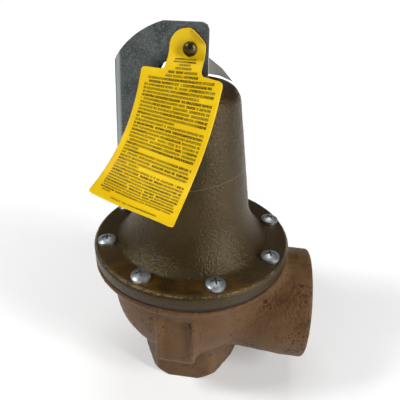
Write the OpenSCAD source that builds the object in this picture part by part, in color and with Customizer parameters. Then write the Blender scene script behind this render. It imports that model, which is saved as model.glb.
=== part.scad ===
// Pressure relief valve: bronze body, spring tower, test lever and tag.
// Origin: centre of the inlet's bottom face. +X: outlet. +Z: up. -Y: front.
// All sizes in millimetres.

/* [Body] */
// Radius of the clamped flanges
flange_r = 65; // [60:1:70]
// Radius of the bowl under the flange
bowl_r = 54; // [52:0.5:56]
// Height of the bonnet flange's top face above the inlet face
flange_z = 110; // [108:1:114]
// Inlet hexagon across its flats
inlet_af = 66; // [62:1:70]
// Inlet thread's major radius (1-1/2 inch pipe)
inlet_thread_r = 24.13; // [20:0.01:25]
// Depth of both pipe threads
thread_len = 24; // [18:1:26]
// Height of the outlet's axis above the inlet face
outlet_z = 58; // [56:1:60]
// Distance from the inlet's axis to the outlet's face
outlet_x = 82.5; // [78:0.5:90]
// Radius of the outlet hub
outlet_hub_r = 38; // [36:0.5:40]
// Outlet thread's major radius (2 inch pipe)
outlet_thread_r = 30.16; // [28:0.01:31]

/* [Bonnet] */
// Thickness of the bonnet flange
bonnet_flange_h = 10; // [8:0.5:12]
// Height of the tower above the flange
tower_h = 100; // [92:1:104]
// Tower radius just under its rounded top
tower_top_r = 27.2; // [25:0.1:28]
// Slope of the tower's side, radius gained per millimetre down
tower_slope = 0.141; // [0.12:0.001:0.16]
// Radius of the rounded edge at the tower's top
tower_round = 11; // [9:0.5:12]
// Radius of the trumpet-shaped foot of the tower
foot_round = 38; // [34:1:42]
// Casting wall thickness
wall = 5.5; // [4.5:0.5:6]

/* [Flange screws] */
// Number of screws
screw_count = 8; // [6:1:8]
// Radius of the screw circle
screw_circle_r = 56.6; // [56:0.1:58]
// Screw shank radius
screw_r = 3; // [2.5:0.1:3.2]
// Pan head radius
screw_head_r = 5.8; // [5.2:0.1:6]

/* [Stem and lever] */
// Stem radius
stem_r = 5; // [4:0.5:5.5]
// Height of the lever pin above the flange's top face
pin_h = 120; // [119:0.5:122]
// Lever pin radius
pin_r = 2.4; // [2:0.1:2.6]
// Lever sheet thickness
lever_t = 2; // [1.5:0.1:2.5]
// Overall width of the channel-shaped lever
lever_w = 27; // [26:0.5:28]
// Outer radius of the lever's bends
lever_bend_r = 5; // [4:0.5:6]

/* [Spring] */
// Spring wire radius
wire_r = 2.6; // [2:0.1:3]
// Mean radius of the coil
coil_r = 15.5; // [14:0.5:16]
// Number of turns
coil_turns = 8; // [6:1:9]

/* [Tag] */
// Width of the tag's printed panel
tag_w = 42; // [40:0.5:46]
// Length of the tag below the pin
tag_len = 96.5; // [80:0.5:100]
// Width of the tag's neck
tag_neck_w = 18.5; // [16:0.5:20]
// Where the neck widens into the panel, below the pin
tag_shoulder = 14.5; // [12:0.5:16]
// Thickness of the tag
tag_t = 0.6; // [0.4:0.1:0.8]

/* [Hidden] */
$fn = 96;

e = 0.01;
big = 400;
diaphragm_t = 1.5;
parting_z = flange_z - bonnet_flange_h;
body_top = parting_z - diaphragm_t;
tower_z = flange_z + tower_h;
pin_z = flange_z + pin_h;
run_gap = 0.05;

// Bowl: the arc that turns the straight wall in towards the hub
bowl_arc_r = 46;
bowl_arc_c = bowl_r - bowl_arc_r;
bowl_arc_z = 70;
bowl_wall = 6.5;
flange_cone_h = 13;
flange_edge_h = 2.5;

// Seat and throat
throat_r = 19;
seat_z = 46;
seat_ring_r = 24;
seat_ring_h = 8;
nozzle_r = 28.5;
hub_turn_r = 36.2;

// Front wrench panel on the bowl
panel_w = 19;
panel_x = -1.5;
panel_low = 34;
panel_high = 79;
panel_y = 50.5;
ridge_w = 2.6;
ridge_h = 1.2;

// Tower profile: side() gives the outer radius at a height
side_z = tower_z - tower_round;
function side(z) = tower_top_r + (side_z - z) * tower_slope;
lean = atan(tower_slope);
foot_angle = 52;
foot_drop = foot_round * (sin(foot_angle) - sin(lean));
foot_high_z = flange_z + foot_drop;
// Centres of the two rounding arcs, moved a hair so that they cross the side cleanly
nudge = 0.05;
foot_c = [side(foot_high_z) + foot_round * cos(lean) - nudge, foot_high_z + foot_round * sin(lean)];
foot_low_r = foot_c[0] - foot_round * cos(foot_angle);
top_c = [
    side(side_z + tower_round * sin(lean)) - tower_round * cos(lean) + nudge,
    side_z + nudge
];

// Screws: head height, the dome's radius, depth in the body, and the cross recess
screw_head_h = 4;
screw_dome_r = 9.5;
screw_depth = 6;
recess_l = 5.8;
recess_w = 1.2;

// Tower bore for the adjusting screw
adjuster_r = 12;
adjuster_top = tower_z - 6;
adjuster_h = 20;
lock_ring_h = 4;
boss_z = tower_z - 22;

// Parts that ride on the stem
disc_r = 22.5;
disc_h = 4;
disc_z = seat_z + run_gap;
disc_screw_r = 3;
disc_washer_h = 1.6;
holder_r = 25;
lower_plate_h = 4;
lower_plate_z = body_top - lower_plate_h;
plate_r = 34;
fold_r = 5.2;
rim_r = plate_r + 1 + 2 * fold_r;
plate_t = 2.5;
stem_nut_r = 10;
stem_nut_h = 5;
// Spring buttons: a flange under the coil's end and a pilot inside it; the upper one has a cone
button_h = 4;
pilot_r = 11.3;
pilot_h = 9;
cone_h = 4.5;
button_z = parting_z + plate_t + stem_nut_h;
upper_button_z = adjuster_top - adjuster_h - cone_h;
spring_low = button_z + button_h;
spring_high = upper_button_z - button_h;
stem_low = disc_z + disc_h + 8;
stem_high = pin_z - 4;

// How the tag hangs: degrees, for the bend off the lever, the lean against the
// tower, the curl of the lower end, and the turn and yaw along its length
tag_lean = 59;
tag_rest = 18;
tag_curl = 84;
tag_turn = [4, 26.5];
tag_yaw = [5.5, -17.5];
tag_x = -1.6;
tag_hole_r = 3.2;

// Lever outline, measured from the pin's axis
lever_out = lever_w / 2;
lever_in = lever_out - lever_t;
head_gap = 2.8;
pin_tail = 3.5;
pin_head_r = 3.6;
pin_head_h = 2.8;
pin_dome_r = 4.2;
bushing_r = 5.6;
crown_r = 47;
crown_c = [-1.4, -33];
web_top = [-41.9, -7.7];
web_low = [-45.7, -84];
crown_h = 12.2;
crown_front = 9;
crown_round = 4.5;
arm_top = -16;
leg_back = 3;
leg_low = -19;
far_front = 5.2;
far_h = 8.6;
far_from = 5;
pull_z = -68;
pull_r = 3.2;
web_lean = atan((web_top[0] - web_low[0]) / (web_top[1] - web_low[1]));

module at_screws() {
    for (k = [0 : screw_count - 1])
        rotate([0, 0, (k + 0.5) * 360 / screw_count])
            translate([screw_circle_r, 0, 0])
                children();
}

// ---------------------------------------------------------------- body
module bowl_shape(shrink) {
    translate([bowl_arc_c, bowl_arc_z])
        circle(r = bowl_arc_r - shrink);
}

module bowl_profile() {
    intersection() {
        union() {
            bowl_shape(0);
            translate([0, 20]) square([bowl_arc_c + e, 50]);
            translate([0, bowl_arc_z]) square([bowl_r, body_top - bowl_arc_z]);
        }
        square([big, body_top]);
    }
    polygon([
        [0, body_top], [flange_r, body_top], [flange_r, body_top - flange_edge_h],
        [bowl_r, body_top - flange_edge_h - flange_cone_h], [0, body_top - flange_edge_h - flange_cone_h]
    ]);
}

module bowl_cavity_profile() {
    intersection() {
        union() {
            bowl_shape(bowl_wall);
            translate([0, bowl_arc_z - bowl_arc_r + bowl_wall])
                square([bowl_arc_c, bowl_arc_r]);
            translate([0, bowl_arc_z])
                square([bowl_r - bowl_wall, big]);
        }
        square([big, big]);
    }
}

module inlet_hub() {
    intersection() {
        cylinder(r = inlet_af / sqrt(3), h = 44, $fn = 6);
        rotate_extrude()
            polygon([
                [0, 0], [hub_turn_r - 2, 0], [hub_turn_r, 3.5],
                [hub_turn_r + 4, 12], [hub_turn_r + 4, 44], [0, 44]
            ]);
    }
}

module outlet_hub() {
    translate([0, 0, outlet_z])
        rotate([0, 90, 0])
            rotate_extrude()
                polygon([
                    [0, 20], [outlet_hub_r - 3.5, 20], [outlet_hub_r, 68],
                    [outlet_hub_r, outlet_x - 1.5], [outlet_hub_r - 1.5, outlet_x], [0, outlet_x]
                ]);
}

// Wrench panel on the front: a boss low on the bowl, and a flat pocket through
// the boss and the bowl above it
module panel_boss() {
    translate([panel_x - panel_w / 2 - ridge_w, 0, 0])
        rotate([90, 0, 90])
            linear_extrude(panel_w + 2 * ridge_w)
                polygon([
                    [-30, panel_low - 4], [-40, panel_low - 4], [-panel_y + 2, panel_low + 2],
                    [-panel_y - ridge_h, panel_low + 8], [-bowl_r + 0.2, 60],
                    [-bowl_r, panel_high], [-30, panel_high]
                ]);
}

module panel_pocket() {
    translate([panel_x - panel_w / 2, -panel_y - 10, panel_low + 4])
        cube([panel_w, 10, panel_high - panel_low - 4]);
}

module body() {
    color("#8f6d58")
    difference() {
        union() {
            rotate_extrude() bowl_profile();
            inlet_hub();
            outlet_hub();
            panel_boss();
        }
        difference() {
            rotate_extrude() bowl_cavity_profile();
            cylinder(r = nozzle_r, h = seat_z - 2);
        }
        // inlet thread, throat and the seat ring's pocket
        translate([0, 0, -e]) cylinder(r = inlet_thread_r, h = thread_len + e);
        cylinder(r = throat_r, h = seat_z);
        translate([0, 0, seat_z - seat_ring_h]) cylinder(r = seat_ring_r, h = seat_ring_h);
        // outlet passage and thread
        translate([30, 0, outlet_z]) rotate([0, 90, 0]) cylinder(r = outlet_thread_r - 2.7, h = outlet_x);
        translate([outlet_x - thread_len, 0, outlet_z])
            rotate([0, 90, 0])
                cylinder(r = outlet_thread_r, h = thread_len + e);
        panel_pocket();
        // tapped screw holes
        translate([0, 0, body_top - screw_depth - 1]) at_screws() cylinder(r = screw_r + run_gap, h = 10);
    }
}

// -------------------------------------------------------------- bonnet
module bonnet_profile() {
    difference() {
        polygon([
            [0, parting_z], [flange_r - 1.2, parting_z], [flange_r, parting_z + 1.5],
            [flange_r, flange_z - 2], [flange_r - 2, flange_z], [foot_low_r + 2, flange_z],
            [side(foot_high_z), foot_high_z], [side(tower_z), tower_z], [0, tower_z]
        ]);
        // rounded edge of the tower's top
        translate(top_c)
            difference() {
                translate([0, tower_round * sin(lean)]) square(tower_round + 1);
                circle(r = tower_round);
            }
        // trumpet-shaped foot
        intersection() {
            translate(foot_c) circle(r = foot_round);
            translate([0, flange_z]) square([big, foot_drop + 5]);
        }
    }
}

module bonnet_cavity_profile() {
    polygon([
        [0, parting_z - e], [49, parting_z - e], [49, parting_z + 5], [40, flange_z + 2],
        [side(foot_high_z) - wall, foot_high_z - 3], [side(boss_z) - wall, boss_z - 6],
        [side(boss_z) - wall - 6, boss_z], [0, boss_z]
    ]);
}

module bonnet() {
    color("#4e4232")
    difference() {
        rotate_extrude() bonnet_profile();
        rotate_extrude() bonnet_cavity_profile();
        translate([0, 0, boss_z - e]) cylinder(r = adjuster_r + run_gap, h = big);
        at_screws() cylinder(r = screw_r + 0.3, h = big);
    }
}

// ------------------------------------------------------ flange screws
module pan_screw() {
    difference() {
        union() {
            // domed pan head
            intersection() {
                cylinder(r = screw_head_r, h = screw_head_h);
                translate([0, 0, screw_head_h - screw_dome_r]) sphere(r = screw_dome_r);
            }
            translate([0, 0, body_top - flange_z - screw_depth])
                cylinder(r = screw_r, h = flange_z - body_top + screw_depth + e);
        }
        // cross recess
        for (a = [0, 90])
            rotate([0, 0, a])
                translate([-recess_l / 2, -recess_w / 2, 2])
                    cube([recess_l, recess_w, screw_head_h]);
    }
}

module flange_screws() {
    color("#b9bdc2")
    translate([0, 0, flange_z])
        for (k = [0 : screw_count - 1])
            rotate([0, 0, (k + 0.5) * 360 / screw_count])
                translate([screw_circle_r, 0, 0])
                    rotate([0, 0, 17 + 41 * k])
                        pan_screw();
}

// ------------------------------------------------- seat, disc, stem
module seat_ring() {
    color("#b08d57")
    translate([0, 0, seat_z - seat_ring_h])
        rotate_extrude()
            polygon([
                [throat_r - 0.5, 0], [seat_ring_r, 0], [seat_ring_r, seat_ring_h - 2],
                [throat_r + 2.2, seat_ring_h - 2], [throat_r + 1.2, seat_ring_h],
                [throat_r - 0.5, seat_ring_h]
            ]);
}

module disc() {
    color("#c0522d")
    translate([0, 0, disc_z])
        difference() {
            cylinder(r = disc_r, h = disc_h);
            translate([0, 0, -e]) cylinder(r = disc_screw_r, h = disc_h + 1);
        }
}

module disc_holder() {
    color("#b08d57")
    translate([0, 0, disc_z])
        difference() {
            rotate_extrude()
                polygon([
                    [0, disc_h], [disc_r, disc_h], [disc_r, 1.2], [holder_r, 1.2], [holder_r, disc_h + 3],
                    [12, disc_h + 6], [9, disc_h + 12], [9, lower_plate_z - disc_z], [0, lower_plate_z - disc_z]
                ]);
            translate([0, 0, disc_h - e]) cylinder(r = disc_screw_r, h = 10);
            translate([0, 0, stem_low - disc_z]) cylinder(r = stem_r, h = big);
        }
}

module disc_washer() {
    color("#c9a24a")
    translate([0, 0, disc_z - disc_washer_h])
        difference() {
            cylinder(r = 10, h = disc_washer_h);
            translate([0, 0, -e]) cylinder(r = disc_screw_r, h = disc_washer_h + 1);
        }
}

module disc_screw() {
    color("#c9a24a")
    translate([0, 0, disc_z]) {
        translate([0, 0, -2]) cylinder(r = disc_screw_r, h = disc_h + 8);
        translate([0, 0, -disc_washer_h - 3])
            difference() {
                cylinder(r = 6, h = 3, $fn = 6);
                translate([-8, -0.7, -e]) cube([16, 1.4, 1.2]);
            }
    }
}

module stem() {
    color("#c3b183")
    difference() {
        translate([0, 0, stem_low]) cylinder(r = stem_r, h = stem_high - stem_low);
        // saddle under the lift bushing
        translate([0, 0, pin_z]) rotate([90, 0, 0]) cylinder(r = bushing_r, h = 4 * stem_r, center = true);
    }
}

// ------------------------------------------------------- diaphragm
module diaphragm() {
    color("#2b2b2b")
    difference() {
        rotate_extrude() {
            translate([stem_r, body_top]) square([plate_r + 1 - stem_r, diaphragm_t]);
            translate([rim_r, body_top]) square([flange_r - 1.5 - rim_r, diaphragm_t]);
            // hanging convolution between the plate and the clamped rim
            translate([plate_r + 1 + fold_r, parting_z])
                intersection() {
                    difference() {
                        circle(r = fold_r + diaphragm_t);
                        circle(r = fold_r);
                    }
                    translate([-20, -20]) square([40, 20]);
                }
        }
        at_screws() translate([0, 0, 50]) cylinder(r = screw_r + 0.3, h = 80);
    }
}

module lower_plate() {
    color("#b08d57")
    translate([0, 0, lower_plate_z])
        difference() {
            cylinder(r = plate_r - 2, h = lower_plate_h);
            translate([0, 0, -e]) cylinder(r = stem_r, h = lower_plate_h + 1);
        }
}

module upper_plate() {
    color("#9aa0a6")
    translate([0, 0, parting_z])
        difference() {
            cylinder(r = plate_r, h = plate_t);
            translate([0, 0, -e]) cylinder(r = stem_r, h = plate_t + 1);
        }
}

module stem_nut() {
    color("#b9bdc2")
    translate([0, 0, parting_z + plate_t])
        difference() {
            cylinder(r = stem_nut_r, h = stem_nut_h, $fn = 6);
            translate([0, 0, -e]) cylinder(r = stem_r, h = stem_nut_h + 1);
        }
}

// ---------------------------------------------------------- spring
module lower_spring_button() {
    color("#9aa0a6")
    translate([0, 0, button_z])
        rotate_extrude()
            polygon([
                [stem_r, 0], [coil_r + 4, 0], [coil_r + 4, button_h], [pilot_r + 1, button_h],
                [pilot_r, pilot_h], [stem_r, pilot_h]
            ]);
}

module upper_spring_button() {
    color("#9aa0a6")
    translate([0, 0, upper_button_z])
        rotate_extrude()
            polygon([
                [stem_r + 0.4, -pilot_h], [pilot_r, -pilot_h], [pilot_r + 1, -button_h],
                [coil_r + 3, -button_h], [coil_r + 3, 0], [8, cone_h], [stem_r + 0.4, cone_h]
            ]);
}

module spring() {
    sides = 8;
    steps = coil_turns * 20;
    rise = spring_high - spring_low - 2 * wire_r;
    // closed and ground ends: the pitch eases in and out over one turn
    function ease(t) = t - sin(360 * t) / 360 * 40 / coil_turns;
    function ring(i) = [
        for (k = [0 : sides - 1])
            let (
                t = i / steps,
                a = 360 * coil_turns * t,
                b = 360 * k / sides,
                r = coil_r + wire_r * cos(b)
            )
            [r * cos(a), r * sin(a), spring_low + wire_r + rise * ease(t) + wire_r * sin(b)]
    ];
    points = [for (i = [0 : steps]) each ring(i)];
    sidefaces = [
        for (i = [0 : steps - 1], k = [0 : sides - 1])
            let (n = (k + 1) % sides, p = i * sides)
            [p + k, p + sides + k, p + sides + n, p + n]
    ];
    ends = [[for (k = [0 : sides - 1]) k], [for (k = [sides - 1 : -1 : 0]) steps * sides + k]];
    color("#6f7378") polyhedron(points, concat(sidefaces, ends));
}

module adjusting_screw() {
    color("#b08d57")
    translate([0, 0, adjuster_top - adjuster_h])
        difference() {
            cylinder(r = adjuster_r, h = adjuster_h - lock_ring_h);
            translate([0, 0, -e]) cylinder(r = stem_r + run_gap, h = adjuster_h);
        }
}

module lock_ring() {
    color("#b08d57")
    translate([0, 0, adjuster_top - lock_ring_h])
        difference() {
            cylinder(r = adjuster_r, h = lock_ring_h);
            translate([0, 0, -e]) cylinder(r = 7.5, h = lock_ring_h + 1);
            for (a = [0, 90])
                rotate([0, 0, a]) translate([-15, -1.2, 2]) cube([30, 2.4, 3]);
        }
}

// ----------------------------------------------------------- lever
// Side view of a cheek: x to the outlet, y up, from the pin's axis
module cheek_outline() {
    difference() {
        union() {
            // crown, cut by a large arc at its back
            intersection() {
                translate(crown_c) circle(r = crown_r);
                translate([-48, arm_top]) square([crown_front + 48, crown_h - arm_top]);
            }
            // front leg, down to the tower's top
            translate([leg_back, leg_low]) square([crown_front - leg_back, 20]);
            // arm behind the tower
            polygon([
                [-48, arm_top + e], [-20, arm_top + e], [-25, -28], [-34, -68], [-41, -76], [-48, -76]
            ]);
        }
        // arch over the top of the tower
        intersection() {
            translate([-7, -21.5]) circle(r = 15.5);
            translate([-30, -40]) square([30 + leg_back, 40]);
        }
        // rounded front corner of the crown
        translate([crown_front - crown_round + nudge, crown_h - crown_round + nudge])
            difference() {
                square(crown_round + 1);
                circle(r = crown_round);
            }
    }
}

// The far cheek is lower and shorter, and ends in a nose that bears on the tower's shoulder
module far_outline() {
    intersection() {
        cheek_outline();
        translate([-60, -90]) square([60 + far_front, 90 + far_h]);
    }
    polygon([
        [leg_back, -17.7], [leg_back, -6], [far_front, -8.2], [14, -14.4],
        [20.3, -21.2], [16.5, -19.7], [12.9, -18.4], [6, -17.6]
    ]);
}

module lever_section() {
    difference() {
        union() {
            translate([lever_bend_r, -lever_out]) square([80, lever_w]);
            translate([0, -lever_out + lever_bend_r]) square([80, lever_w - 2 * lever_bend_r]);
            for (s = [-1, 1])
                translate([lever_bend_r, s * (lever_out - lever_bend_r)])
                    circle(r = lever_bend_r);
        }
        union() {
            translate([lever_bend_r, -lever_in]) square([90, 2 * lever_in]);
            translate([lever_t, -lever_in + lever_bend_r - lever_t])
                square([90, 2 * (lever_in - lever_bend_r + lever_t)]);
            for (s = [-1, 1])
                translate([lever_bend_r, s * (lever_out - lever_bend_r)])
                    circle(r = lever_bend_r - lever_t);
        }
    }
}

module lever() {
    color("#6d7274")
    translate([0, 0, pin_z])
        difference() {
            intersection() {
                union() {
                    translate([0, far_from, 0]) rotate([90, 0, 0]) linear_extrude(30) cheek_outline();
                    translate([0, far_from + 20, 0]) rotate([90, 0, 0]) linear_extrude(20) far_outline();
                }
                translate([web_top[0], 0, web_top[1]])
                    rotate([0, web_lean, 0])
                        linear_extrude(180, center = true) lever_section();
            }
            rotate([90, 0, 0]) cylinder(r = pin_r + run_gap, h = 2 * lever_w, center = true);
            // hole for a pull chain in the web
            translate([web_low[0] - 5, 0, pull_z]) rotate([0, 90, 0]) cylinder(r = pull_r, h = 20);
        }
}

module lift_bushing() {
    color("#c3b183")
    translate([0, 0, pin_z])
        difference() {
            rotate([90, 0, 0]) cylinder(r = bushing_r, h = 2 * lever_in - 1, center = true);
            rotate([90, 0, 0]) cylinder(r = pin_r, h = 40, center = true);
        }
}

module lever_pin() {
    color("#5b4a26")
    translate([0, 0, pin_z])
        rotate([90, 0, 0]) {
            translate([0, 0, -lever_out - pin_tail]) cylinder(r = pin_r, h = lever_w + pin_tail + head_gap);
            translate([0, 0, lever_out + head_gap])
                intersection() {
                    cylinder(r = pin_head_r, h = pin_head_h + 0.2);
                    translate([0, 0, pin_head_h - pin_dome_r]) sphere(r = pin_dome_r);
                }
        }
}

module pin_washer() {
    color("#b9bdc2")
    translate([0, lever_out + 0.1, pin_z])
        rotate([-90, 0, 0])
            difference() {
                cylinder(r = 5.5, h = 1);
                translate([0, 0, -1]) cylinder(r = pin_r, h = 3);
            }
}

module pin_clip() {
    color("#8b8f94")
    translate([0, lever_out + 1.2, pin_z])
        rotate([-90, 0, 0])
            difference() {
                cylinder(r = 4.6, h = 0.8);
                translate([0, 0, -1]) cylinder(r = pin_r, h = 3);
            }
}

// Tag: a thin sheet on the pin. v runs down its length, u across it.
function eased(x) = let (t = min(1, max(0, x))) t * t * (3 - 2 * t);
function tag_pitch(v) = tag_lean * (eased((v + 1) / 8) - eased((v - 8) / 8))
    + tag_rest * eased((v - 8) / 10) + tag_curl * eased((v - 30) / 80);
function tag_turn_at(v) = tag_turn[0] + tag_turn[1] * max(0, v) / 100;
function tag_yaw_at(v) = let (q = max(0, v) / 100) tag_yaw[0] * eased(3 * q) + tag_yaw[1] * q * q;
function tag_down(v) = let (a = tag_turn_at(v), b = tag_pitch(v))
    [-sin(a) * cos(b), -sin(b), -cos(a) * cos(b)];
function tag_across(v) = let (a = tag_turn_at(v), b = tag_yaw_at(v))
    [cos(a) * cos(b), -sin(b), -sin(a) * cos(b)];
tag_step = 0.5;
tag_top = -9.5;
// Points of the centre line every tag_step, from the pin down and from the pin up
tag_line_down = [
    for (i = 0, p = [0, 0, 0]; i <= tag_len / tag_step; p = p + tag_step * tag_down((i + 0.5) * tag_step), i = i + 1) p
];
tag_line_up = [
    for (i = 0, p = [0, 0, 0]; i <= -tag_top / tag_step; p = p - tag_step * tag_down(-(i + 0.5) * tag_step), i = i + 1) p
];
function tag_centre(v) = v >= 0 ? tag_line_down[round(v / tag_step)] : tag_line_up[round(-v / tag_step)];

// Half the tag's width at v: a rounded top, the neck, then the panel
function tag_half(v) = let (n = tag_neck_w / 2, d = max(0, tag_top + n - v))
    sqrt(max(0.5, n * n - d * d)) + (tag_w - tag_neck_w) / 2 * eased((v - tag_shoulder + 1.5) / 3);

module tag_sheet(row_h, columns) {
    rows = floor((tag_len - tag_top) / row_h);
    nu = columns + 1;
    function place(u, v, side) = let (
        t = tag_down(v), a = tag_across(v),
        n = cross(a, t)
    ) tag_centre(v) + u * a + side * tag_t * n / norm(n);
    points = [
        for (side = [0, 1], j = [0 : rows], i = [0 : columns])
            let (v = tag_top + row_h * j)
            place(tag_half(v) * (2 * i / columns - 1), v, side)
    ];
    half = nu * (rows + 1);
    front = [
        for (j = [0 : rows - 1], i = [0 : columns - 1])
            let (p = j * nu + i)
            each [[p, p + 1, p + nu], [p + 1, p + nu + 1, p + nu]]
    ];
    back = [for (f = front) [f[2] + half, f[1] + half, f[0] + half]];
    rim = [
        for (i = [0 : columns - 1], p = [i, rows * nu + i])
            each p == i
                ? [[p, p + half, p + 1], [p + 1, p + half, p + 1 + half]]
                : [[p, p + 1, p + half], [p + 1, p + 1 + half, p + half]],
        for (j = [0 : rows - 1], p = [j * nu, j * nu + columns])
            each p == j * nu
                ? [[p, p + nu, p + half], [p + nu, p + nu + half, p + half]]
                : [[p, p + half, p + nu], [p + nu, p + half, p + nu + half]]
    ];
    polyhedron(points, concat(front, back, rim));
}

module tag() {
    color("#e2b80c")
    difference() {
        translate([tag_x, -lever_out - 0.9, pin_z]) tag_sheet(2, 8);
        translate([0, 0, pin_z]) rotate([90, 0, 0]) cylinder(r = tag_hole_r, h = 60);
    }
}

body();
bonnet();
flange_screws();
seat_ring();
diaphragm();
disc_holder();
disc();
disc_washer();
disc_screw();
lower_plate();
upper_plate();
stem_nut();
lower_spring_button();
spring();
upper_spring_button();
adjusting_screw();
lock_ring();
stem();
lift_bushing();
lever();
lever_pin();
pin_washer();
pin_clip();
tag();
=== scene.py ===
"""Looks of the pressure relief valve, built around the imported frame. Lengths are in metres."""
import math

import bmesh
import bpy
import numpy as np
from mathutils import Matrix, Quaternion, Vector, noise


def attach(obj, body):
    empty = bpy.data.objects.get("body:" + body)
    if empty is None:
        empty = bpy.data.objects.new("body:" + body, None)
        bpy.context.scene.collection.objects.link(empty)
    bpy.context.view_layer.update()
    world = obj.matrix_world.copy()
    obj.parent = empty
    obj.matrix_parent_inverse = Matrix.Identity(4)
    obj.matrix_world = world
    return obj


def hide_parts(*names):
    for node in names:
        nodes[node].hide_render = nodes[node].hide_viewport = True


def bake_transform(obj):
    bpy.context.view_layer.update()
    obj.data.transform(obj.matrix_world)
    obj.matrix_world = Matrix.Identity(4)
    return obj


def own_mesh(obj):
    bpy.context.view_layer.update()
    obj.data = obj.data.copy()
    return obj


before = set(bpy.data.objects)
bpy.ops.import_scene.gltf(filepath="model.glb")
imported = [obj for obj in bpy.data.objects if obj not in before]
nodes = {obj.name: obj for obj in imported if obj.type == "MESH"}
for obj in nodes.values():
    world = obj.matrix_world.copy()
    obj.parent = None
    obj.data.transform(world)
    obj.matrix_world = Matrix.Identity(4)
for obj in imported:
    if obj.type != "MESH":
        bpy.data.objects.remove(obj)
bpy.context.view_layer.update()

MM = 0.001
TURN = 2 * math.pi

# sizes from part.scad
FLANGE_Z = 110 * MM  # top of the bonnet's flange
PIN_Z = 230 * MM
BODY_TOP = 98.5 * MM
OUTLET_X, OUTLET_Z = 82.5 * MM, 58 * MM
OUTLET_HUB_R = 37 * MM  # where it leaves the bowl
# the bowl: straight above BOWL_Z, round below it about a flat bottom
BOWL_R, BOWL_Z, BOWL_FLAT_R, BOWL_ROUND_R = 54 * MM, 70 * MM, 8 * MM, 46 * MM
SPRING_LOW, SPRING_HIGH = 111.5 * MM, 175.5 * MM
SPRING_COIL_R, SPRING_WIRE_R, SPRING_TURNS = 15.5 * MM, 2.6 * MM, 8
# the lever's web, as two points of its back line: forward and up from the pin
WEB_TOP, WEB_LOW = (-41.9 * MM, -7.7 * MM), (-45.7 * MM, -84 * MM)

# limits of the machined surfaces, a little wider than the bores themselves
OUTLET_BORE_R, OUTLET_BORE_END = 31.5 * MM, 52 * MM
INLET_BORE_R, INLET_BORE_END = 26 * MM, 50 * MM
BONNET_BORE_R, BONNET_LOW = 13 * MM, 100.5 * MM
FLANGE_EDGE_R = 63.9 * MM  # middle of the rubbed line on the flange's upper edge
# the diaphragm's sectors, and its fold from the plates' edge to the clamped rim
SECTORS, FOLD_IN, FOLD_OUT, FOLD_UP = 16, 35 * MM, 44.5 * MM, Vector((0, 0, 99 * MM))
# female pipe threads, both 11.5 turns to the inch: major radius at inlet and outlet
THREAD_PITCH, THREAD_DEPTH, THREAD_LENGTH = 2.209 * MM, 1.5 * MM, 24 * MM
INLET_THREAD_R, OUTLET_THREAD_R = 24.13 * MM, 30.16 * MM
# cast skins: mesh size, strip beside a machined face that stays sharp, rounds of smoothing,
# scales of the sand's lumps and grains, fillet where the outlet leaves the bowl
CAST_VOXEL, SHARP, SOFTEN_ROUNDS = 0.9 * MM, 0.6 * MM, 4
LUMP_SCALE, SAND_SCALE = 110, 420
FILLET, FILLET_ROUNDS = 9 * MM, 260


# ------------------------------------------------------------ materials
class Paint:
    """Short calls for building one material's nodes."""

    def __init__(self, name):
        self.material = bpy.data.materials.new(name)
        self.material.use_nodes = True
        self.tree = self.material.node_tree
        self.shader = self.tree.nodes["Principled BSDF"]
        coordinates = self.tree.nodes.new("ShaderNodeTexCoord").outputs
        self.place, self.facing = coordinates["Object"], coordinates["Normal"]

    def node(self, kind, inputs, out=0, **settings):
        made = self.tree.nodes.new("ShaderNode" + kind)
        for key, value in settings.items():
            setattr(made, key, value)
        for key, value in inputs.items():
            self.put(made.inputs[key], value)
        return made.outputs[out]

    def put(self, socket, value):
        if isinstance(value, bpy.types.NodeSocket):
            self.tree.links.new(value, socket)
        else:
            socket.default_value = value

    def noise(self, scale, detail=3.0, rough=0.55, at=None, twist=0.0):
        inputs = {"Vector": at or self.place, "Scale": scale, "Detail": detail}
        return self.node("TexNoise", inputs | {"Roughness": rough, "Distortion": twist})

    def cells(self, scale):
        """Distance to the nearest of many scattered points."""
        return self.node("TexVoronoi", {"Vector": self.place, "Scale": scale})

    def math(self, operation, a, b=0.0, c=0.0):
        return self.node("Math", {0: a, 1: b, 2: c}, operation=operation)

    def times(self, first, *others):
        """Product of two or more values."""
        for other in others:
            first = self.math("MULTIPLY", first, other)
        return first

    def distance(self, a, b):
        return self.math("SQRT", self.math("ADD", self.times(a, a), self.times(b, b)))

    def step(self, value, low, high, to_low=0.0, to_high=1.0):
        """Smooth step from to_low at low to to_high at high."""
        inputs = {"Value": value, "From Min": low, "From Max": high}
        inputs |= {"To Min": to_low, "To Max": to_high}
        return self.node("MapRange", inputs, interpolation_type="SMOOTHSTEP")

    def mix(self, factor, a, b):
        """Colour a at factor 0, colour b at 1."""
        return self.node("Mix", {0: factor, 6: a, 7: b}, 2, data_type="RGBA")

    def axes(self, at=None):
        """The three parts of a vector, or of the place in the object."""
        split = self.tree.nodes.new("ShaderNodeSeparateXYZ")
        self.put(split.inputs[0], at or self.place)
        return split.outputs

    def bump(self, height, distance, under=None):
        inputs = {"Height": height, "Distance": distance, "Strength": 1.0}
        if under is not None:
            inputs["Normal"] = under
        return self.node("Bump", inputs)

    def set(self, **sockets):
        for name, value in sockets.items():
            self.put(self.shader.inputs[name.replace("_", " ")], value)
        return self.material


def rgb(red, green, blue):
    return (red, green, blue, 1.0)


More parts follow.
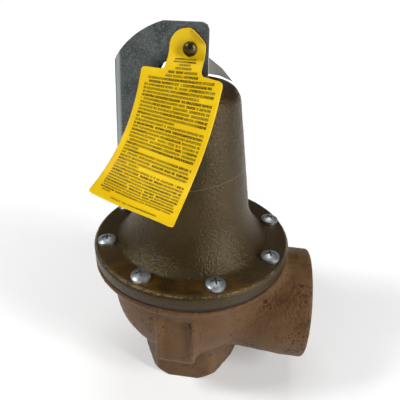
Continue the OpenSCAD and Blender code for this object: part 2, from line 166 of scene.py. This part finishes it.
def cast_body_material():
    """Reddish bronze, as cast: dull and mottled, with stains and dark pits."""
    p = Paint("cast_body")
    broad = p.noise(28, 4, 0.6)
    fine = p.noise(420, 5, 0.65)
    dull, warm = rgb(0.084, 0.038, 0.013), rgb(0.122, 0.063, 0.025)
    colour = p.mix(p.step(broad, 0.35, 0.68), dull, warm)
    colour = p.mix(p.step(fine, 0.38, 0.66, 0.0, 0.45), colour, rgb(0.140, 0.078, 0.036))
    stain = p.step(p.noise(60, 5, 0.7, twist=0.6), 0.52, 0.72, 0.0, 0.6)
    colour = p.mix(stain, colour, rgb(0.048, 0.020, 0.006))
    # sparse dark pits, more at the outlet's rim and low where the outlet joins the bowl
    pit = p.cells(170)
    x, _, z = p.axes()
    rim = p.times(p.step(x, 66 * MM, 74 * MM), 0.10)
    junction = p.times(p.step(x, 38 * MM, 44 * MM), p.step(x, 58 * MM, 50 * MM))
    junction = p.times(junction, p.step(z, 52 * MM, 40 * MM), 0.14)
    where = p.math("ADD", p.noise(70, 2), p.math("ADD", rim, junction))
    dark = p.times(p.step(pit, 0.30, 0.16), p.step(where, 0.54, 0.60))
    small = p.times(p.step(p.cells(360), 0.32, 0.18), p.step(where, 0.57, 0.63))
    dark = p.math("MAXIMUM", dark, small)
    colour = p.mix(dark, colour, rgb(0.050, 0.018, 0.010))
    grain = p.bump(p.noise(1500, 3, 0.6), 0.10 * MM)
    lumps = p.bump(p.noise(560, 3, 0.6), 0.85 * MM, grain)
    pits = p.bump(dark, -0.4 * MM, lumps)
    rough = p.step(fine, 0.3, 0.7, 0.40, 0.56)
    return p.set(
        Base_Color=colour, Metallic=0.1, Roughness=rough, Normal=pits,
        Specular_IOR_Level=0.22, Specular_Tint=rgb(1.0, 0.88, 0.70),
    )


def cast_bonnet_material():
    """Dark olive-brown casting, semi-gloss, with painted light as yellowish-brown patches on the
    flange's front, and a rubbed edge.
    """
    p = Paint("cast_bonnet")
    x, y, z = p.axes()
    radius = p.distance(x, y)
    broad = p.noise(24, 4, 0.6)
    fine = p.noise(1200, 4, 0.65)
    dark, olive = rgb(0.0165, 0.0080, 0.0010), rgb(0.0270, 0.0142, 0.0024)
    colour = p.mix(p.step(broad, 0.35, 0.68), dark, olive)
    colour = p.mix(p.step(fine, 0.45, 0.70, 0.0, 0.30), colour, rgb(0.046, 0.030, 0.010))
    # painted light: lighter yellowish-brown patches on the flange's upper face, on its front only
    upper_face = p.step(z, FLANGE_Z - 1.4 * MM, FLANGE_Z - 0.4 * MM)
    on_flange = p.times(p.step(radius, 50 * MM, 55 * MM), upper_face)
    to_front = p.step(y, -15 * MM, -50 * MM)
    patch = p.step(p.noise(55, 4, 0.65), 0.40, 0.60)
    painted_front_light = p.times(on_flange, to_front, patch, 0.75)
    colour = p.mix(painted_front_light, colour, rgb(0.070, 0.030, 0.003))
    # rubbed line along the flange's upper edge
    across = p.math("SUBTRACT", radius, FLANGE_EDGE_R)
    up = p.math("SUBTRACT", z, FLANGE_Z - 0.9 * MM)
    close = p.step(p.distance(across, up), 0.5 * MM, 0.2 * MM)
    worn = p.times(close, p.step(p.noise(260, 3, 0.7), 0.46, 0.62), 0.8)
    colour = p.mix(worn, colour, rgb(0.160, 0.105, 0.045))
    # faint slanted and broken line where the core boxes met
    line_z, slant = 158.5 * MM, -0.14
    above = p.math("ADD", p.math("SUBTRACT", z, line_z), p.times(x, slant))
    above = p.math("ADD", above, p.times(p.noise(60, 2), 1.2 * MM))
    close = p.step(p.math("ABSOLUTE", above), 0.55 * MM, 0.1 * MM)
    line = p.times(close, p.step(p.noise(90, 2), 0.36, 0.5))
    colour = p.mix(p.times(line, 0.7), colour, rgb(0.110, 0.086, 0.054))
    grain = p.bump(p.noise(1150, 3, 0.65), 0.16 * MM)
    lumps = p.bump(p.noise(680, 3, 0.6), 0.52 * MM, grain)
    lumps = p.bump(line, 0.25 * MM, lumps)
    rough = p.step(fine, 0.3, 0.7, 0.30, 0.43)
    return p.set(
        Base_Color=colour, Metallic=0.1, Roughness=rough, Normal=lumps,
        Specular_IOR_Level=0.40, Specular_Tint=rgb(1.0, 0.86, 0.55),
    )


def galvanised_material():
    """Zinc-coated sheet: mottled grey, with painted highlights along the bends, at the far cheek's
    front end and on the cut edges.
    """
    p = Paint("galvanised_sheet")
    x, y, z = p.axes()
    patches = p.noise(75, 5, 0.7, twist=0.4)
    speckle = p.noise(900, 3, 0.7)
    dark, pale = rgb(0.042, 0.049, 0.048), rgb(0.088, 0.099, 0.097)
    colour = p.mix(p.step(patches, 0.36, 0.64), dark, pale)
    colour = p.mix(p.step(speckle, 0.46, 0.66, 0.0, 0.6), colour, rgb(0.165, 0.180, 0.176))
    # distance in front of the web's back face
    slope = (WEB_TOP[0] - WEB_LOW[0]) / (WEB_TOP[1] - WEB_LOW[1])
    web_x = p.math("MULTIPLY_ADD", p.math("SUBTRACT", z, PIN_Z + WEB_TOP[1]), slope, WEB_TOP[0])
    front = p.math("SUBTRACT", x, web_x)
    side = p.math("ABSOLUTE", y)
    # painted highlight: a light stripe along each bend between the web and the cheeks
    bend_highlight = p.times(p.step(front, 0.8 * MM, 2.2 * MM), p.step(front, 5.0 * MM, 3.4 * MM))
    bend_highlight = p.times(bend_highlight, p.step(side, 9.5 * MM, 11.5 * MM), 0.75)
    colour = p.mix(bend_highlight, colour, rgb(0.320, 0.355, 0.350))
    # painted light: the far cheek's front end is painted pale grey
    far_tip_light = p.times(p.step(x, 4.6 * MM, 5.4 * MM), p.step(y, 10 * MM, 11 * MM), 0.8)
    colour = p.mix(far_tip_light, colour, rgb(0.600, 0.615, 0.590))
    # painted highlight: a light line on the cheeks' cut edges, which don't face sideways
    normal_y = p.math("ABSOLUTE", p.axes(p.facing)[1])
    cut = p.times(p.step(normal_y, 0.45, 0.2), p.step(front, 5.6 * MM, 6.2 * MM))
    cut = p.times(cut, p.step(side, 11.0 * MM, 11.4 * MM), 0.8)
    colour = p.mix(cut, colour, rgb(0.400, 0.420, 0.410))
    return p.set(
        Base_Color=colour, Metallic=0.6, Roughness=p.step(patches, 0.3, 0.7, 0.34, 0.48),
        Specular_IOR_Level=0.3, Normal=p.bump(speckle, 0.03 * MM),
    )


def metal(name, colour, second, rough, scale=500, metallic=0.9, grain=0.02 * MM):
    """A bright or dull metal with fine uneven grain of the given height."""
    p = Paint(name)
    blotch = p.noise(scale * 0.3, 4, 0.6)
    fine = p.noise(scale * 2.4, 3, 0.6)
    made = p.mix(p.step(blotch, 0.35, 0.65), rgb(*colour), rgb(*second))
    return p.set(
        Base_Color=made,
        Metallic=metallic,
        Roughness=p.step(fine, 0.3, 0.7, rough - 0.05, rough + 0.08),
        Normal=p.bump(fine, grain),
    )


def turned_material():
    """Machined bronze with fine turning marks round the axis."""
    p = Paint("turned_bronze")
    marks = 16000  # radians per metre, so 0.4 mm apart
    height = p.math("ADD", p.axes()[2], p.times(p.noise(40), 0.4 * MM))
    rings = p.math("SINE", p.times(height, marks))
    tone = p.noise(90, 4, 0.6)
    colour = p.mix(p.step(tone, 0.35, 0.65), rgb(0.42, 0.25, 0.11), rgb(0.55, 0.35, 0.17))
    return p.set(
        Base_Color=colour, Metallic=0.95, Roughness=p.step(tone, 0.3, 0.7, 0.28, 0.38),
        Normal=p.bump(rings, 0.012 * MM),
    )


def rubber(name, colour):
    """Dull rubber with paler dust in patches."""
    p = Paint(name)
    dust = p.noise(240, 5, 0.7)
    light = tuple(min(1.0, 1.5 * c + 0.012) for c in colour)
    made = p.mix(p.step(dust, 0.45, 0.7), rgb(*colour), rgb(*light))
    return p.set(
        Base_Color=made, Roughness=p.step(dust, 0.3, 0.7, 0.55, 0.75),
        Normal=p.bump(dust, 0.05 * MM),
    )


def floor_material():
    """Pale studio floor that stays pale far beyond the lamps' reach."""
    p = Paint("pale_floor")
    x, y, _ = p.axes()
    tone = p.noise(6, 3)
    glow = p.step(p.distance(x, y), 0.05, 1.2)
    return p.set(
        Base_Color=p.mix(tone, rgb(0.70, 0.70, 0.70), rgb(0.73, 0.73, 0.73)),
        Roughness=p.step(tone, 0.3, 0.7, 0.8, 0.9),
        Emission_Color=p.mix(glow, rgb(0.22, 0.22, 0.22), rgb(0.94, 0.94, 0.94)),
        Emission_Strength=1.0,
    )


# ------------------------------------------------------------- vinyl tag
# Places on the tag are u across and v down from the pin, on the flat sheet.
TAG_W, NECK_W, TAG_T = 42 * MM, 18.5 * MM, 0.45 * MM
TAG_TOP, SHOULDER, TAG_LEN = -9.5 * MM, 14.5 * MM, 96.5 * MM
CORNER, SHOULDER_FILLET = 2.2 * MM, 3.0 * MM
TAG_HOLE = 3.2 * MM
TAG_AT = Vector((-1.6 * MM, -14.4 * MM, PIN_Z))
# degrees: the neck's slope, the panel's and how much the end curls up; then the turn in the
# tag's plane and the yaw about its length, each with what the length adds
TAG_LEAN, TAG_REST, TAG_CURL = 59, 18, 84
TAG_TURN, TAG_YAW = (4, 26.5), (5.5, -17.5)
# slight waves across the panel: height, then radians per metre across and down
WAVE, WAVE_U, WAVE_V = 0.25 * MM, 160, 60
# the neck's upper right corner is bent out along a crease: a point of it, its direction, the
# bend's radius and its angle in radians
CREASE_AT, CREASE_WAY = (0.4 * MM, -9.1 * MM), (0.756, 0.655)
CREASE_R, CREASE_BEND = 0.9 * MM, 1.15
TAG_STEP, TAG_COLUMNS, LEAST_HALF = 0.5 * MM, 44, 0.4 * MM
# rows of print: half the width of a full row, then of rows that are narrower and centred, and
# then where rows end early
ROWS_FROM, ROW_PITCH, ROW_COUNT, ROW_SKEW = 5.2 * MM, 1.98 * MM, 45, 0.12
PANEL_REACH = 18.3 * MM
HEADING_REACH = (
    (0, 5.4 * MM), (1, 5.8 * MM), (2, 3.4 * MM), (3, 4.2 * MM), (4, 7.6 * MM), (5, 8.4 * MM),
    (6, 17.0 * MM), (7, 16.2 * MM), (43, 0.0), (44, 11.5 * MM),
)
SHORT_ROWS = (
    (10, 11 * MM), (17, 2 * MM), (26, -11 * MM), (31, -7 * MM), (41, 17 * MM), (42, -13 * MM),
)


def eased(t):
    """Smooth step from 0 to 1, for one number."""
    t = min(1.0, max(0.0, t))
    return t * t * (3 - 2 * t)


def over(v, start, length):
    return eased((v - start) / length)


def tag_frame(v):
    """Directions down the tag and across it, at v down from the pin."""
    far = max(0.0, v) / (100 * MM)
    pitch = math.radians(
        TAG_LEAN * (over(v, -1 * MM, 8 * MM) - over(v, 8 * MM, 8 * MM))
        + TAG_REST * over(v, 8 * MM, 10 * MM)
        + TAG_CURL * over(v, 30 * MM, 80 * MM)
    )
    turn = math.radians(TAG_TURN[0] + TAG_TURN[1] * far)
    yaw = math.radians(TAG_YAW[0] * eased(3 * far) + TAG_YAW[1] * far * far)
    down = (-math.sin(turn) * math.cos(pitch), -math.sin(pitch), -math.cos(turn) * math.cos(pitch))
    across = (math.cos(turn) * math.cos(yaw), -math.sin(yaw), -math.sin(turn) * math.cos(yaw))
    return Vector(down), Vector(across)


def tag_half(v):
    """Half the tag's width at v: a round top, the neck, then the panel with small corner radii."""
    neck = NECK_W / 2
    panel = TAG_W / 2
    rise = max(0.0, TAG_TOP + neck - v)
    width = math.sqrt(max(0.0, neck * neck - rise * rise))
    # shoulder: a hollow fillet out of the neck, then a rounded corner
    start = SHOULDER - SHOULDER_FILLET
    if start < v < SHOULDER:
        width += SHOULDER_FILLET - math.sqrt(SHOULDER_FILLET * SHOULDER_FILLET - (v - start) ** 2)
    if v >= SHOULDER:
        drop = max(0.0, CORNER - (v - SHOULDER))
        width = panel - CORNER + math.sqrt(CORNER * CORNER - drop * drop)
    low = max(0.0, v - (TAG_LEN - CORNER))
    return width - (CORNER - math.sqrt(max(0.0, CORNER * CORNER - low * low)))


def mesh_object(name, points, faces, smooth=True):
    mesh = bpy.data.meshes.new(name)
    mesh.from_pydata([tuple(p) for p in points], [], faces)
    mesh.validate()
    if smooth:
        mesh.shade_smooth()
    made = bpy.data.objects.new(name, mesh)
    bpy.context.collection.objects.link(made)
    return made


def creased(u, v, across, down, out):
    """Shift of a point of the sheet that lies beyond the crease."""
    beyond = (u - CREASE_AT[0]) * CREASE_WAY[1] - (v - CREASE_AT[1]) * CREASE_WAY[0]
    if beyond <= 0:
        return Vector((0, 0, 0))
    angle = min(beyond / CREASE_R, CREASE_BEND)
    rest = beyond - CREASE_R * angle
    along = CREASE_R * math.sin(angle) + rest * math.cos(angle)
    lift = CREASE_R * (1 - math.cos(angle)) + rest * math.sin(angle)
    return (along - beyond) * (CREASE_WAY[1] * across - CREASE_WAY[0] * down) + lift * out


def make_tag():
    """The tag as a thin sheet with a UV of its flat size, in metres from the pin."""
    # the sheet's middle line, stepped down and up from the pin
    centre = {0: Vector((0, 0, 0))}
    for i in range(int(round(TAG_LEN / TAG_STEP))):
        centre[i + 1] = centre[i] + TAG_STEP * tag_frame((i + 0.5) * TAG_STEP)[0]
    for i in range(int(round(-TAG_TOP / TAG_STEP))):
        centre[-i - 1] = centre[-i] - TAG_STEP * tag_frame(-(i + 0.5) * TAG_STEP)[0]
    rows = sorted(centre)
    points, flat, in_hole = [], [], []
    for row in rows:
        v = row * TAG_STEP
        down, across = tag_frame(v)
        out = down.cross(across).normalized()
        half = max(tag_half(v), LEAST_HALF)
        for i in range(TAG_COLUMNS + 1):
            u = half * (2 * i / TAG_COLUMNS - 1)
            wave = WAVE * math.sin(u * WAVE_U + v * WAVE_V) * over(v, 20 * MM, 20 * MM)
            at = TAG_AT + centre[row] + u * across + wave * out
            at += creased(u, v, across, down, out)
            # points inside the hole move out along the sheet to its edge
            off = Vector((at.x, at.z - PIN_Z))
            in_hole.append(off.length < TAG_HOLE)
            du = dv = 0.0
            if in_hole[-1]:
                off = off * (TAG_HOLE / max(off.length, 1e-6) - 1)
                turn = across.x * down.z - across.z * down.x
                du = (off.x * down.z - off.y * down.x) / turn
                dv = (across.x * off.y - across.z * off.x) / turn
                at += du * across + dv * down
            points.append(at)
            flat.append((u + du, v + dv))
    wide = TAG_COLUMNS + 1
    faces = []
    for j in range(len(rows) - 1):
        for i in range(TAG_COLUMNS):
            a = j * wide + i
            face = (a, a + wide, a + wide + 1, a + 1)
            if not all(in_hole[k] for k in face):
                faces.append(face)
    made = mesh_object("tag_sheet", points, faces)
    uv = made.data.uv_layers.new(name="flat")
    for loop in made.data.loops:
        uv.data[loop.index].uv = flat[loop.vertex_index]
    return made


def tag_material():
    """Printed vinyl: yellow, faded in patches, with rows of illegible word-like marks."""
    p = Paint("tag_vinyl")
    flat = p.node("UVMap", {}, uv_map="flat")
    u, v, _ = p.axes(flat)
    tone = p.noise(35, 4, 0.6)
    faded, yellow = rgb(0.600, 0.385, 0.001), rgb(0.690, 0.460, 0.002)
    colour = p.mix(p.step(tone, 0.35, 0.68), faded, yellow)
    # rows of print, which rise to the right near the tag's top
    skew = p.times(p.math("SUBTRACT", TAG_LEN, v), ROW_SKEW / TAG_LEN)
    down = p.math("MULTIPLY_ADD", u, skew, v)
    row_at = p.math("DIVIDE", p.math("SUBTRACT", down, ROWS_FROM), ROW_PITCH)
    row = p.math("FLOOR", row_at)
    within = p.math("SUBTRACT", row_at, row)
    reach = PANEL_REACH
    for index, half in HEADING_REACH:
        here = p.math("COMPARE", row, index, 0.5)
        reach = p.math("ADD", reach, p.times(here, half - PANEL_REACH))
    ink = p.times(p.step(within, 0.10, 0.22), p.step(within, 0.90, 0.78))
    full_to = p.math("SUBTRACT", reach, 0.3 * MM)
    ink = p.times(ink, p.step(p.math("ABSOLUTE", u), reach, full_to))
    ink = p.times(ink, p.step(row, -0.6, -0.4), p.step(row, ROW_COUNT - 0.4, ROW_COUNT - 0.6))
    for index, end in SHORT_ROWS:
        past = p.step(u, end - 0.2 * MM, end + 0.2 * MM)
        cut = p.times(p.math("COMPARE", row, index, 0.5), past)
        ink = p.times(ink, p.math("SUBTRACT", 1.0, cut))
    # words, letters, and heavier runs of print
    along = p.node("CombineXYZ", {"X": u, "Y": p.times(row, 0.37), "Z": 0.0})
    slow = p.node("CombineXYZ", {"X": u, "Y": p.times(row, 0.011), "Z": 3.0})
    words = p.step(p.noise(760, 1, 0.4, at=along), 0.31, 0.37)
    letters = p.step(p.noise(1900, 2, 0.6, at=flat), 0.38, 0.56, 0.42, 1.0)
    heavy = p.step(p.noise(70, 1, 0.4, at=slow), 0.50, 0.58, 0.78, 1.0)
    colour = p.mix(p.times(ink, words, letters, heavy), colour, rgb(0.030, 0.018, 0.003))
    return p.set(
        Base_Color=colour, Roughness=p.step(tone, 0.3, 0.7, 0.38, 0.5), Specular_IOR_Level=0.25,
        Normal=p.bump(p.noise(500, 3), 0.02 * MM),
    )


# ------------------------------------------------------------ cast skins
def even_copy(node, name):
    """A new object with a CAD node's shape, in quads of one size."""
    made = bpy.data.objects.new(name, nodes[node].data.copy())
    bpy.context.collection.objects.link(made)
    remesh = made.modifiers.new("even", "REMESH")
    remesh.mode = "VOXEL"
    remesh.voxel_size = CAST_VOXEL
    graph = bpy.context.evaluated_depsgraph_get()
    mesh = bpy.data.meshes.new_from_object(made.evaluated_get(graph))
    made.modifiers.clear()
    made.data = mesh
    made.data.materials.clear()
    mesh.shade_smooth()
    return made


def read_points(mesh):
    points = np.empty(len(mesh.vertices) * 3)
    mesh.vertices.foreach_get("co", points)
    return points.reshape(-1, 3)


def relax(mesh, points, weight, rounds):
    """Draws each point towards its neighbours' mean, by its weight from 0 to 1."""
    edges = np.empty(len(mesh.edges) * 2, int)
    mesh.edges.foreach_get("vertices", edges)
    ends = np.concatenate([edges[0::2], edges[1::2]])
    others = np.concatenate([edges[1::2], edges[0::2]])
    count = np.bincount(ends, minlength=len(points))
    for _ in range(rounds):
        sums = [np.bincount(ends, points[others, k], len(points)) for k in range(3)]
        mean = np.stack([total / count for total in sums], 1)
        points += weight[:, None] * (mean - points)
    return points


def roughen(mesh, points, weight, coarse, fine):
    """Moves points along their normals by cast-sand unevenness."""
    mesh.vertices.foreach_set("co", points.ravel())
    mesh.update()
    normals = np.empty(len(points) * 3)
    mesh.vertices.foreach_get("normal", normals)
    shift = np.zeros(len(points))
    for i in np.flatnonzero(weight > 0):
        at = Vector(points[i])
        shift[i] = coarse * noise.noise(at * LUMP_SCALE) + fine * noise.noise(at * SAND_SCALE)
    points = points + normals.reshape(-1, 3) * (shift * weight)[:, None]
    mesh.vertices.foreach_set("co", points.ravel())
    mesh.update()


def smoothstep(value, low, high):
    """Smooth step from 0 at low to 1 at high, for an array."""
    t = np.clip((value - low) / (high - low), 0, 1)
    return t * t * (3 - 2 * t)


def make_body():
    """The body's casting, uneven outside and in its passages, sharp where it is machined."""
    made = even_copy("body", "body_casting")
    mesh = made.data
    points = read_points(mesh)
    x, y, z = points.T
    round_z = np.hypot(x, y)
    round_x = np.hypot(y, z - OUTLET_Z)
    # machined: the outlet's face and bore, the inlet's face and bore, the parting face
    cast = smoothstep(OUTLET_X - x, SHARP, 2.0 * MM)
    cast *= smoothstep(z, SHARP, 2.0 * MM)
    cast *= smoothstep(BODY_TOP - z, SHARP, 1.6 * MM)
    cast *= 1 - (round_x < OUTLET_BORE_R) * (x > OUTLET_BORE_END)
    cast *= 1 - (round_z < INLET_BORE_R) * (z < INLET_BORE_END)
    points = relax(mesh, points, 0.5 * cast, SOFTEN_ROUNDS)
    # broad fillet where the outlet leaves the bowl, outside only
    straight = round_z - BOWL_R
    rounded = np.hypot(round_z - BOWL_FLAT_R, z - BOWL_Z) - BOWL_ROUND_R
    bowl = np.where(z > BOWL_Z, straight, rounded)
    hub = round_x - OUTLET_HUB_R
    near = np.exp(-(bowl**2 + hub**2) / (2 * FILLET**2))
    near = near * (x > 10 * MM) * (bowl > -3 * MM) * cast
    points = relax(mesh, points, 0.5 * near, FILLET_ROUNDS)
    roughen(mesh, points, cast, 0.20 * MM, 0.10 * MM)
    return made


def make_bonnet():
    """The bonnet's casting: its tower is rougher than its flange."""
    made = even_copy("bonnet", "bonnet_casting")
    mesh = made.data
    points = read_points(mesh)
    x, y, z = points.T
    radius = np.hypot(x, y)
    cast = smoothstep(z, BONNET_LOW, BONNET_LOW + 1 * MM) * (radius > BONNET_BORE_R)
    tower_only = smoothstep(z, FLANGE_Z + 1 * MM, FLANGE_Z + 4 * MM)
    points = relax(mesh, points, 0.5 * cast * (0.4 + 0.6 * tower_only), SOFTEN_ROUNDS)
    roughen(mesh, points, cast * (0.35 + 0.65 * tower_only), 0.16 * MM, 0.12 * MM)
    return made


# --------------------------------------------------------------- threads
def thread(name, radius, mouth, axis_turn):
    """Ridge of a female pipe thread that winds into a bore from its mouth."""
    per_turn = 72
    steps = int((THREAD_LENGTH / THREAD_PITCH - 1) * per_turn)
    # the ridge's outline: height as part of its depth, and place along the bore in pitches
    outline = ((0, -0.48), (1, -0.10), (1, 0.10), (0, 0.48))
    # it starts this many pitches in, and fades into the wall over so many turns at its ends
    start, fade_in, fade_out, sunk = 0.6, 0.6, 1.5, 0.15 * MM
    points = []
    for i in range(steps + 1):
        angle = TURN * i / per_turn
        fade = min(1.0, i / (per_turn * fade_in), (steps - i) / (per_turn * fade_out))
        for height, shift in outline:
            r = radius + sunk - (THREAD_DEPTH * height + sunk) * fade
            along = THREAD_PITCH * (i / per_turn + start) + shift * THREAD_PITCH
            points.append(Vector((r * math.cos(angle), r * math.sin(angle), along)))
    wide = len(outline)
    faces = [
        (i * wide + k, i * wide + k + 1, (i + 1) * wide + k + 1, (i + 1) * wide + k)
        for i in range(steps)
        for k in range(wide - 1)
    ]
    faces += [
        (i * wide, (i + 1) * wide, (i + 1) * wide + wide - 1, i * wide + wide - 1)
        for i in range(steps)
    ]
    faces += [(0, 1, 2, 3), tuple(steps * wide + k for k in (3, 2, 1, 0))]
    place = Matrix.Translation(mouth) @ axis_turn
    return mesh_object(name, [place @ p for p in points], faces, smooth=False)


# ----------------------------------------------------------- small parts
def diaphragm_sector(index):
    """One sector of the CAD diaphragm, and its direction."""
    middle = TURN * index / SECTORS
    half = math.pi / SECTORS
    made = bpy.data.objects.new(f"diaphragm_{index:02d}", nodes["diaphragm"].data.copy())
    bpy.context.collection.objects.link(made)
    mesh = bmesh.new()
    mesh.from_mesh(made.data)
    bmesh.ops.remove_doubles(mesh, verts=mesh.verts, dist=0.001 * MM)
    for turn, side in ((middle - half, -1), (middle + half, 1)):
        outward = (-side * math.sin(turn), side * math.cos(turn), 0)
        bmesh.ops.bisect_plane(
            mesh, geom=mesh.verts[:] + mesh.edges[:] + mesh.faces[:],
            plane_co=(0, 0, 0), plane_no=outward, clear_outer=True,
        )
    bmesh.ops.holes_fill(mesh, edges=[edge for edge in mesh.edges if edge.is_boundary])
    mesh.to_mesh(made.data)
    mesh.free()
    return made, Vector((math.cos(middle), math.sin(middle), 0))


def make_spring():
    """Round wire, with end turns so close that they merge into a ring at each button."""
    sides, per_turn = 14, 40
    closing = 1 / 9  # how far the end turns are drawn in, as part of the spring's length
    steps = SPRING_TURNS * per_turn
    rise = SPRING_HIGH - SPRING_LOW - 2 * SPRING_WIRE_R
    points = []
    for i in range(steps + 1):
        t = i / steps
        angle = TURN * SPRING_TURNS * t
        z = SPRING_LOW + SPRING_WIRE_R + rise * (t - math.sin(TURN * t) * closing)
        for k in range(sides):
            b = TURN * k / sides
            r = SPRING_COIL_R + SPRING_WIRE_R * math.cos(b)
            up = SPRING_WIRE_R * math.sin(b)
            points.append((r * math.cos(angle), r * math.sin(angle), z + up))
    faces = []
    for i in range(steps):
        for k in range(sides):
            here, there = i * sides, (i + 1) * sides
            after = (k + 1) % sides
            faces.append((here + k, here + after, there + after, there + k))
    faces += [tuple(range(sides))[::-1], tuple(steps * sides + k for k in range(sides))]
    return mesh_object("spring_coil", points, faces)


# -------------------------------------------------- materials and pieces
def wear(obj, material):
    obj.data.materials.clear()
    obj.data.materials.append(material)
    return obj


body_paint = cast_body_material()
bonnet_paint = cast_bonnet_material()
zinc = metal("zinc_plate", (0.30, 0.32, 0.33), (0.38, 0.40, 0.41), 0.38, grain=0.006 * MM)
steel = metal("spring_wire", (0.20, 0.21, 0.22), (0.30, 0.31, 0.32), 0.36)
brass = metal("stem_brass", (0.50, 0.36, 0.16), (0.62, 0.46, 0.22), 0.30)
pin_brass = metal("pin_brass", (0.036, 0.023, 0.005), (0.066, 0.045, 0.013), 0.34, 900, 0.8)
turned = turned_material()
black_rubber = rubber("diaphragm_rubber", (0.018, 0.018, 0.018))
red_rubber = rubber("disc_rubber", (0.30, 0.07, 0.025))
sheet_zinc = galvanised_material()

for names, material in (
    (("flange_screws", "pin_washer", "upper_plate", "stem_nut"), zinc),
    (("lower_spring_button", "upper_spring_button"), zinc),
    (("seat_ring", "disc_holder", "lower_plate", "adjusting_screw", "lock_ring"), turned),
    (("stem", "lift_bushing", "disc_washer", "disc_screw"), brass),
    (("lever_pin",), pin_brass),
    (("pin_clip",), steel),
    (("disc",), red_rubber),
    (("diaphragm",), black_rubber),
    (("lever",), sheet_zinc),
):
    for name in names:
        for slot in nodes[name].material_slots:
            slot.material = material

casting = wear(make_body(), body_paint)
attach(casting, "valve")
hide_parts("body")

tower = wear(make_bonnet(), bonnet_paint)
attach(tower, "valve")
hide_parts("bonnet")

into_inlet = Matrix.Identity(4)
into_outlet = Matrix.Rotation(math.radians(-90), 4, "Y")
for name, radius, mouth, turn in (
    ("inlet_thread", INLET_THREAD_R, Vector((0, 0, 0)), into_inlet),
    ("outlet_thread", OUTLET_THREAD_R, Vector((OUTLET_X, 0, OUTLET_Z)), into_outlet),
):
    ridge = wear(thread(name, radius, mouth, turn), turned)
    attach(ridge, "valve")

coil = wear(make_spring(), steel)
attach(coil, "valve")
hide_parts("spring")
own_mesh(coil)

for index in range(SECTORS):
    sector, outward = diaphragm_sector(index)
    wear(sector, black_rubber)
    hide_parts("diaphragm")
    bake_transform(sector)

label = wear(make_tag(), tag_material())
thick = label.modifiers.new("thickness", "SOLIDIFY")
thick.thickness = TAG_T
thick.offset = 0
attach(label, "tag")
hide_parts("tag")

# the lever is the CAD solid, with its edges broken
edge = nodes["lever"].modifiers.new("edges", "BEVEL")
edge.width = 0.25 * MM
edge.segments = 2
edge.limit_method = "ANGLE"
edge.angle_limit = math.radians(35)
edge.harden_normals = True


# ------------------------------------------------------ floor and lights
FLOOR = 8  # half its side, in metres
corners = [(-FLOOR, -FLOOR, 0), (FLOOR, -FLOOR, 0), (FLOOR, FLOOR, 0), (-FLOOR, FLOOR, 0)]
floor = mesh_object("floor", corners, [(0, 1, 2, 3)])
wear(floor, floor_material())

world = bpy.data.worlds.new("studio")
world.use_nodes = True
sky = world.node_tree.nodes["Background"].inputs
sky["Color"].default_value = rgb(1.0, 1.0, 1.0)
sky["Strength"].default_value = 0.08
bpy.context.scene.world = world
bpy.context.scene.view_settings.view_transform = "Standard"


def softbox(name, at, size, power):
    """A rectangular area light that faces the middle of the valve, with its power in watts."""
    lamp = bpy.data.lights.new(name, "AREA")
    lamp.shape = "RECTANGLE"
    lamp.size, lamp.size_y = size
    lamp.energy = power
    made = bpy.data.objects.new(name, lamp)
    made.location = at
    made.rotation_mode = "QUATERNION"
    made.rotation_quaternion = (Vector((0, 0, FLANGE_Z)) - Vector(at)).to_track_quat("-Z", "Y")
    bpy.context.collection.objects.link(made)


softbox("left_softbox", (-0.80, -0.31, 0.95), (0.20, 0.40), 10)
softbox("right_softbox", (0.86, -0.44, 0.50), (0.18, 0.85), 11)
softbox("top_softbox", (0.0, 0.5, 1.7), (0.9, 0.9), 9)


# ---------------------------------------------------------------- camera
def make_camera():
    """Camera at the studio view: about the flange's centre, then turned a little in place."""
    azimuth, elevation, distance = math.radians(8.38), math.radians(34.26), 273.0 * MM
    pan, tilt, roll = -0.0190, 0.0768, -0.0151  # radians
    level = math.cos(elevation)
    back = Vector((math.sin(azimuth) * level, -math.cos(azimuth) * level, math.sin(elevation)))
    forward = -back
    right = forward.cross(Vector((0, 0, 1))).normalized()
    up = right.cross(forward)
    turn = Quaternion(up, pan)
    forward, right = turn @ forward, turn @ right
    turn = Quaternion(right, tilt)
    forward, up = turn @ forward, turn @ up
    turn = Quaternion(forward, roll)
    right, up = turn @ right, turn @ up
    data = bpy.data.cameras.new("camera")
    data.sensor_width = 36
    data.lens = 35.88
    data.clip_start = 0.01
    made = bpy.data.objects.new("camera", data)
    at = Vector((0, 0, FLANGE_Z)) + back * distance
    made.matrix_world = Matrix.Translation(at) @ Matrix((right, up, -forward)).transposed().to_4x4()
    bpy.context.collection.objects.link(made)
    bpy.context.scene.camera = made


make_camera()
